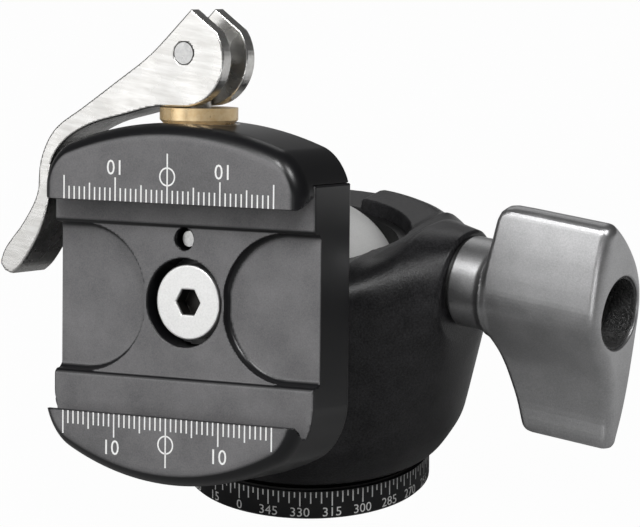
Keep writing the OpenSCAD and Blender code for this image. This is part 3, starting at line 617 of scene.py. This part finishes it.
# Knob seen from the side, as the reach along the shaft and the height above its axis: over the short wing's
# corner, down the inner edge, round the long wing's corner, and out past the knob's end
KNOB_SIDE = [(44, 15.9), (41, 15.7), (39.8, 15.2), (39.0, 14.4), (38.6, 13.2), (38.35, 9.9), (37.9, 7),
             (37.6, 4), (37.5, 0), (37.3, -4), (37.2, -6.4), (38.1, -8.9), (39.6, -12.6), (41.2, -17.2),
             (42.3, -20.6), (42.8, -22.2), (43.4, -23.2), (44.4, -23.8), (70, -23.8), (70, 15.9)]
KNOB_END = 59.3
# Neck's face at the boss, where the neck begins to taper away inside the knob, and its radius
NECK_FACE = 31.35
NECK_IN = 37.2
NECK_R = 7.5


def knob_field(x, y, z):
    """Knob: what lies inside both its end view and its side view, with rounded edges, and a round neck, less
    the recess in its end."""
    z = z - KNOB_Z
    body = both(polygon_field(y, z, KNOB_ROUND), polygon_field(x, z, KNOB_SIDE), 1.0)
    body = both(body, x - KNOB_END, 2.0)
    neck = np.hypot(y, z) - NECK_R + 0.9 * np.clip(x - NECK_IN, 0, 7)
    body = either(body, both(neck, NECK_FACE - x, 0.3), 1.6)
    recess_r, recess_x = 6.0, 52.9
    return without(body, both(np.hypot(y, z) - recess_r, recess_x - x), 0.4)


# ---- Clamp ----
# Lips that hold the plate, from the clamp's middle, and the seam between the body and the moving jaw
FIXED_LIP = -18.03
MOVING_LIP = 16.03
SEAM_V = 19.75
# Ledges beside the deck, the deck, and the floor of its end pockets, from the jaw tops
LEDGE_W = -4.4
DECK_W = -4.9
POCKET_W = -6.4
# Flat under the cam's washer, from the clamp's middle
WASHER_V = 28.6
# Seat of the clamp screw's head, from the jaw tops
SCREW_SEAT = -9.1


def block_field(u, v, w, reach, arc):
    """Solid half of the clamp: an arc of large radius that goes out as far as reach, between two straight
    ends with rounded corners, with a rounded top edge and a slightly rounded edge at the back."""
    corner_r, top_r, back_r = 5.0, 3.0, 0.4
    plan = both(np.hypot(u, v - (reach - arc)) - arc, np.abs(u) - HALF, corner_r)
    return both(both(plan, w, top_r), -CLAMP_T - w, back_r)


def pocket_field(u, v, w):
    """Pocket at each end of the deck: a circle run out to the end, kept off the screw, and round at its
    floor's edge."""
    middle, pocket_r, screw_wall_r = 19.4, 12.0, 7.55
    out = np.abs(u) - middle
    plan = np.where(out > 0, np.abs(v), np.hypot(out, v)) - pocket_r
    plan = without(plan, np.hypot(u, v) - screw_wall_r, 0.8)
    return both(plan, POCKET_W - w, 1.1)


def clamp_field(u, v, w):
    """Clamp body: the fixed jaw's half as far as the seam, less the undercut channel, the deck and its end
    pockets, the screw's counterbore and hole, the pin's hole, and the bores of the guide pins and the rod."""
    reach, arc = 29.2, 44.0
    body = both(block_field(u, -v, w, reach, arc), v - SEAM_V, 0.15)
    channel = polygon_field(v, w, [(FIXED_LIP, 3), (FIXED_LIP, -1.1), (-20.1, -3.17), (-20.1, LEDGE_W),
                                   (25, LEDGE_W), (25, 3)])
    body = without(body, channel, 0.18)
    deck = polygon_field(v, w, [(-12.5, LEDGE_W), (-12, DECK_W), (12, DECK_W), (12.5, LEDGE_W), (12.5, -3),
                                (-12.5, -3)])
    body = without(body, deck, 0.25)
    body = without(body, pocket_field(u, v, w), 0.12)

    counterbore_r, screw_hole_r, pin_v, pin_hole_r, pin_floor = 7.15, 3.3, 10.2, 1.8, -9.0
    r = np.hypot(u, v)
    body = without(body, both(r - counterbore_r, SCREW_SEAT - w), 0.2)
    body = without(body, r - screw_hole_r)
    body = without(body, both(np.hypot(u, v - pin_v) - pin_hole_r, pin_floor - w), 0.15)

    guide_u, guide_w, guide_r, guide_end, rod_r, rod_end = 15.5, -9.5, 1.5, 9, 2.0, 12.8
    guide = np.hypot(np.abs(u) - guide_u, w - guide_w) - guide_r
    body = without(body, both(guide, guide_end - v))
    return without(body, both(np.hypot(u, w + LEVER_W) - rod_r, rod_end - v))


def moving_jaw_field(u, v, w):
    """Moving jaw: its half from the lip out, less the undercut that laps the body's seam and stays 0.03 off
    the body, the rod's hole and the round flat under the cam's washer."""
    reach, arc = 28.85, 58.0
    body = both(block_field(u, v, w, reach, arc), MOVING_LIP - v, 0.15)
    under_w, back_v = -4.37, 19.78
    under = polygon_field(v, w, [(14, 0.93), (18.1, -3.17), (18.1, under_w), (back_v, under_w), (back_v, -20),
                                 (14, -20)])
    body = without(body, under, 0.12)
    rod_hole_r, flat_r = 2.25, 6.6
    rod = np.hypot(u, w + LEVER_W)
    body = without(body, rod - rod_hole_r)
    return without(body, both(rod - flat_r, WASHER_V - v), 0.1)


def screw_field(u, v, w):
    """Clamp screw: a flat head with a hexagon socket that flares at its mouth, and its shank."""
    head_r, head_middle, head_half = 6.05, -7.6, 1.5
    shank_r, shank_top, shank_end = 3.0, -9.0, -26.7
    socket_half, socket_floor, flare_w = 2.0, -8.9, -6.35
    r = np.hypot(u, v)
    head = both(r - head_r, np.abs(w - head_middle) - head_half, 0.3)
    shank = both(r - shank_r, both(shank_end - w, w - shank_top))
    flats = [np.abs(u * math.cos(t) + v * math.sin(t)) for t in np.radians((30, 90, 150))]
    hexagon = np.maximum(np.maximum(flats[0], flats[1]), flats[2]) - socket_half
    socket = both(hexagon - 0.5 * np.clip(w - flare_w, 0, 1), socket_floor - w)
    return without(np.minimum(head, shank), socket, 0.08)


def socket_painted_shade(u, v, w, su, sv, sw):
    """Share of the painted shade: the walls and floor of the screw's socket, painted dark where shade falls.
    """
    shade_r, shade_top = 2.6, -6.2
    return (np.hypot(u, v) < shade_r) * np.clip((shade_top - w) / 0.5, 0, 1)


def faces_out(u, v, w, su, sv, sw):
    """Share of the painted sheen, grey on the black: what faces straight out of the jaws, and isn't down in
    the bores. Steep walls and bores stay black, which there stands for shade.
    """
    return np.clip((sw - 0.90) / 0.06, 0, 1) * np.clip((w + 8.0) / 0.5, 0, 1)


def washer_flat(u, v, w, su, sv, sw):
    """Share of bare metal: the flat under the cam's washer."""
    return (np.hypot(u, w + LEVER_W) < 6.62) * (np.abs(v - WASHER_V) < 0.2) * (sv > 0.8) * 1.0


# ---- Lever ----
CAM_R = 7.7
# Handle's middle line from the pivot, as its two places and half its width there, out to the tip
HANDLE = ((-3, -3.4, 4.3), (-11.4, -7.2, 2.9), (-18.7, -10.5, 1.6), (-24.2, -13.9, 1.35),
          (-26.9, -18.4, 1.05), (-27.4, -24, 1.25), (-29.8, -29.3, 1.8), (-33.2, -33.9, 2.1),
          (-35, -36.4, 1.3))


def lever_outlines():
    """Outlines about the pivot, seen from the jaws' side: the head, with its crown, round cam and flats, and
    the handle, which is its middle line moved half its width to either side."""
    a = np.radians(np.linspace(36, -88, 25))
    cam = np.stack([-0.1 + CAM_R * np.cos(a), -0.9 + CAM_R * np.sin(a)], axis=1)
    head = [(1.4, 7.0), *cam, (-0.1, -8.6), (-6.4, -8.6), (-9.0, -9.0), (-8.4, -2.4)]
    line = curve_through(HANDLE, 5)
    slope = np.gradient(line[:, :2], axis=0)
    across = np.stack([-slope[:, 1], slope[:, 0]], axis=1) / np.hypot(*slope.T)[:, None]
    left = line[:, :2] + across * line[:, 2:3]
    right = line[:, :2] - across * line[:, 2:3]
    return head, [*left, (-35.0, -36.4), *right[::-1]]


def lever_field(u, v, w):
    """Lever: head and handle outlines, given a thickness, less the fork's slot and the pin's hole."""
    half_t, slot_half, slot_end, pin_r = 4.7, 2.3, -4.6, 1.8
    head, handle = lever_outlines()
    v = v - PIVOT_V
    depth = np.abs(w + LEVER_W)
    plan = either(polygon_field(u, v, head), polygon_field(u, v, handle), 0.5)
    body = both(plan, depth - half_t, 0.3)
    body = without(body, both(slot_end - u, depth - slot_half), 0.2)
    return without(body, np.hypot(u, v) - pin_r, 0.15)


# ---- Scales ----
# Height that the paint stands out, and how far a jaw line's foot is sunk
PAINT = 0.015
SUNK = 0.01
# Radius of the base's graduated rim, and the top ends of its lines
RING_R = 20.65
RING_TOP = 4.93


def strips(boxes, name, body, place):
    """Thin painted lines, as one piece: each box is its low and its high corner."""
    boxes = np.asarray(boxes, float)
    pick = np.array([[i, j, k] for k in (0, 1) for j in (0, 1) for i in (0, 1)])
    points = np.where(pick[None] == 0, boxes[:, None, :3], boxes[:, None, 3:]).reshape(-1, 3)
    quad = np.array([[0, 2, 3, 1], [4, 5, 7, 6], [0, 1, 5, 4], [2, 6, 7, 3], [0, 4, 6, 2], [1, 3, 7, 5]])
    faces = (quad[None] + len(pick) * np.arange(len(boxes))[:, None, None]).reshape(-1, 4)
    put_mesh(name, points, faces, body, scale_paint, place=place, smooth=False)


def numeral(words, height):
    """Numeral's points, centred and scaled to its height, from -1 to 1 in depth, and its triangles."""
    curve = bpy.data.curves.new("numeral", "FONT")
    curve.body = words
    curve.align_x, curve.align_y = "CENTER", "CENTER"
    curve.extrude = 0.1
    curve.resolution_u = 3
    text = bpy.data.objects.new("numeral", curve)
    bpy.context.collection.objects.link(text)
    solid = text.to_mesh()
    points = np.empty(len(solid.vertices) * 3)
    solid.vertices.foreach_get("co", points)
    points = points.reshape(-1, 3)
    low, high = points.min(axis=0), points.max(axis=0)
    points -= (low + high) / 2
    points[:, :2] *= height / (high[1] - low[1])
    points[:, 2] = np.sign(points[:, 2])
    solid.calc_loop_triangles()
    triangles = np.empty(len(solid.loop_triangles) * 3, np.int64)
    solid.loop_triangles.foreach_get("vertices", triangles)
    text.to_mesh_clear()
    bpy.data.objects.remove(text)
    bpy.data.curves.remove(curve)
    return points, triangles.reshape(-1, 3)


def lettering(name, items, body, place):
    """Numerals as thin solids, as one piece: each item is the words, their centre, height and turn."""
    points, faces = [], []
    count = 0
    for words, centre, height, turn in items:
        flat, triangles = numeral(words, height)
        c, s = math.cos(turn), math.sin(turn)
        x, y, z = flat.T
        points.append(np.stack([x * c - y * s + centre[0], x * s + y * c + centre[1], z], axis=1))
        faces.append(triangles + count)
        count += len(flat)
    put_mesh(name, np.concatenate(points), np.concatenate(faces), body, scale_paint, place=place,
             smooth=False)


def jaw_scale(name, body, lip, side):
    """Millimetre scale on a jaw's flat: 41 lines from the lip, longer at each 5 and 10, a circle on the
    middle line, and the number 10 beside it on both sides. Side is -1 or 1, towards the outer edge."""
    half_line, gap, number_v, number_height = 0.13, 0.12, 5.5, 2.4
    circle_v, inner, outer = 4.36, 1.27, 1.53
    boxes = []
    for n in range(-20, 21):
        length = 8.05 if n == 0 else 3.9 if n % 10 == 0 else 2.85 if n % 5 == 0 else 2.2
        v = sorted((lip + side * gap, lip + side * length))
        boxes.append([n - half_line, v[0], -SUNK, n + half_line, v[1], PAINT])
    strips(boxes, name + "_lines", body, clamp_place)
    ring, quads = turned([[inner, -SUNK], [outer, -SUNK], [outer, PAINT], [inner, PAINT]], 48)
    put_mesh(name + "_circle", ring + np.array([0, lip + side * circle_v, 0]), quads, body,
             scale_paint, place=clamp_place, smooth=False)
    turn = 0 if side < 0 else math.pi
    items = [("10", (u, lip + side * number_v), number_height, turn) for u in (-10.3, 10.3)]
    lettering(name + "_numerals", items, body, lambda p: clamp_place(p * np.array([1, 1, PAINT])))


def ring_place(p):
    """Flat drawing wrapped on the base's rim: X is the arc from the front, Y the height, Z 1 at the paint."""
    angle = p[:, 0] / RING_R
    r = RING_R + PAINT * p[:, 2]
    return np.stack([r * np.sin(angle), -r * np.cos(angle), p[:, 1]], axis=1)


def ring_scale():
    """Degree scale round the base: a line each 2.5 degrees, longer at 5 and 15, and a number each 15."""
    half_line, number_z, number_height, start = 0.11, 1.32, 1.6, -1.0
    boxes, items = [], []
    for n in range(144):
        arc = math.radians(2.5 * n + start) * RING_R
        length = 2.55 if n % 6 == 0 else 2.05 if n % 2 == 0 else 1.0
        boxes.append([arc - half_line, RING_TOP - length, -1, arc + half_line, RING_TOP, 1])
        if n % 6 == 0:
            items.append((str((360 - n // 6 * 15) % 360), (arc, number_z), number_height, 0))
    strips(boxes, "ring_lines", "base", ring_place)
    lettering("ring_numerals", items, "base", ring_place)


# ---- Make the pieces ----
put_skin("housing_skin", housing_field, (-27.5, -27.2, 4.6), (32.4, 27.2, 50.2), 0.42,
         "housing", powder_coat, ["housing"])
put_skin("main_knob_skin", knob_field, (31.0, -8.8, 16.6), (60, 8.8, 57.4), 0.3,
         "main_knob", bead_metal, ["main_knob"])
put_skin("clamp_body_skin", clamp_field, (-25.4, -29.8, -15.6), (25.4, 20.3, 0.6), 0.34,
         "platform", clamp_anodise, ["clamp_body"], clamp_place, {"flats_with_painted_sheen": faces_out})
put_skin("moving_jaw_skin", moving_jaw_field, (-25.4, 15.5, -15.6), (25.4, 29.4, 0.6), 0.28,
         "jaw", clamp_anodise, ["moving_jaw"], clamp_place,
         {"flats_with_painted_sheen": faces_out, "bare": washer_flat})
put_skin("cam_lever_skin", lever_field, (-38.5, 1.5, -14.2), (8.4, 47.8, -3.8), 0.3,
         "lever", lever_steel, ["cam_lever"], clamp_place)
put_skin("clamp_screw_skin", screw_field, (-6.4, -6.4, -27.0), (6.4, 6.4, -5.8), 0.2,
         "platform", bright_screw, ["clamp_screw"], clamp_place, {"shaded": socket_painted_shade})
jaw_scale("fixed_scale", "platform", FIXED_LIP, -1)
jaw_scale("moving_scale", "jaw", MOVING_LIP, 1)
ring_scale()

# Finish of each CAD node that no skin replaces
FINISHES = {
    "panning_base": black_anodise, "thread_insert": turned_steel, "pan_bearing_washer": black_polymer,
    "pan_retaining_washer": turned_steel, "retaining_screws": turned_steel,
    "seat_spring_washer": turned_steel, "lower_ball_seat": pale_polymer, "upper_ball_ring": black_polymer,
    "brake_shoe": pale_polymer, "shaft_bushing": bronze, "knob_shaft": turned_steel,
    "knob_thrust_washer": black_polymer, "knob_end_plug": cup_with_painted_glints, "pan_lock_screw": turned_steel,
    "pan_lock_knob": black_anodise, "pan_lock_shoe": bronze, "ball": ball_coat, "ball_stem": stem_metal,
    "jaw_guide_pins": turned_steel, "jaw_springs": turned_steel, "pull_rod": turned_steel,
    "cam_washer": bronze, "antitwist_pin": turned_steel, "lever_pin": turned_steel,
}
for node, finish in FINISHES.items():
    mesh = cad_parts[node].data
    mesh.materials.clear()
    mesh.materials.append(finish)

# ---- Stage ----
# Each lamp's name, place, the point it faces, its two sides and its power, in metres and watts
LAMPS = (
    ("front_softbox", (-0.46, -0.78, 0.40), (0, 0, 0.05), (0.60, 0.72), 2.2),
    ("high_light", (-0.15, -0.62, 0.86), (0, 0, 0.04), (0.28, 0.28), 5.0),
    ("top_light", (0.42, -0.34, 0.83), (0, 0, 0.04), (0.24, 0.24), 3.4),
    ("back_light", (-0.5, 0.7, 0.6), (0, 0, 0.04), (0.5, 0.5), 0.6),
    ("low_light", (0.25, -0.85, 0.10), (0, 0, 0.01), (0.4, 0.1), 0.7),
)
SKY_STRENGTH = 0.045
# White that mirrored rays get from the sky, as a share of what the camera gets
SKY_MIRRORED = 0.06
# White that the camera gets from the floor, and mirrored rays at the least and at the most, with the
# distances towards the back right over which theirs grows
FLOOR_SEEN = 0.98
FLOOR_MIRRORED = (0.05, 0.60)
FLOOR_REACH = (0.02, 0.16)


def set_lamp(name, place, aim, size, power):
    """Soft light with four sides at a place, turned to face a point."""
    light = bpy.data.lights.new(name, "AREA")
    light.shape = "RECTANGLE"
    light.size, light.size_y = size
    light.energy = power
    lamp = bpy.data.objects.new(name, light)
    bpy.context.collection.objects.link(lamp)
    turn = (Vector(place) - Vector(aim)).to_track_quat("Z", "Y").to_matrix().to_4x4()
    turn.translation = place
    lamp.matrix_world = turn


def set_floor():
    """Grey floor that takes the shadow. A white glow is mixed in: nearly all of it for the camera, and for
    mirrored rays a share that grows with the distance towards the back right."""
    mesh = bpy.data.meshes.new("floor")
    mesh.from_pydata([(-4, -4, 0), (4, -4, 0), (4, 4, 0), (-4, 4, 0)], [], [(0, 1, 2, 3)])
    floor = bpy.data.objects.new("floor", mesh)
    bpy.context.collection.objects.link(floor)
    made, nodes, links, surface = shader("pale_floor", (0.28, 0.28, 0.28), 0.0, 0.9)
    glow = nodes.new("ShaderNodeEmission")
    glow.inputs["Strength"].default_value = 1.0
    path = nodes.new("ShaderNodeLightPath")
    seen = math_node(nodes, links, "MULTIPLY", path.outputs["Is Camera Ray"], FLOOR_SEEN)
    mirrored = math_node(nodes, links, "MAXIMUM", path.outputs["Is Glossy Ray"],
                         path.outputs["Is Transmission Ray"])
    back_right = nodes.new("ShaderNodeVectorMath")
    back_right.operation = "DOT_PRODUCT"
    back_right.inputs[1].default_value = (0.7, 0.7, 0)
    links.new(place_node(nodes, links), back_right.inputs[0])
    share = ramp_node(nodes, links, back_right.outputs["Value"], FLOOR_REACH, *FLOOR_MIRRORED)
    mix = nodes.new("ShaderNodeMixShader")
    links.new(math_node(nodes, links, "MULTIPLY_ADD", mirrored, share, seen), mix.inputs["Fac"])
    links.new(surface.outputs[0], mix.inputs[1])
    links.new(glow.outputs[0], mix.inputs[2])
    links.new(mix.outputs[0], nodes["Material Output"].inputs["Surface"])
    floor.data.materials.append(made)


def set_sky():
    """Dim white sky that the camera sees at full white, and mirrored rays a little of."""
    world = bpy.context.scene.world or bpy.data.worlds.new("studio")
    bpy.context.scene.world = world
    world.use_nodes = True
    nodes, links = world.node_tree.nodes, world.node_tree.links
    sky = nodes["Background"]
    sky.inputs["Color"].default_value = (1, 1, 1, 1)
    path = nodes.new("ShaderNodeLightPath")
    shown = path.outputs["Is Camera Ray"]
    for ray in ("Is Glossy Ray", "Is Transmission Ray"):
        shown = math_node(nodes, links, "MULTIPLY_ADD", path.outputs[ray], SKY_MIRRORED, shown)
    links.new(ramp_node(nodes, links, shown, (0, 1), SKY_STRENGTH, 1), sky.inputs["Strength"])


set_floor()
set_sky()
for one in LAMPS:
    set_lamp(*one)
bpy.context.scene.view_settings.view_transform = "Standard"
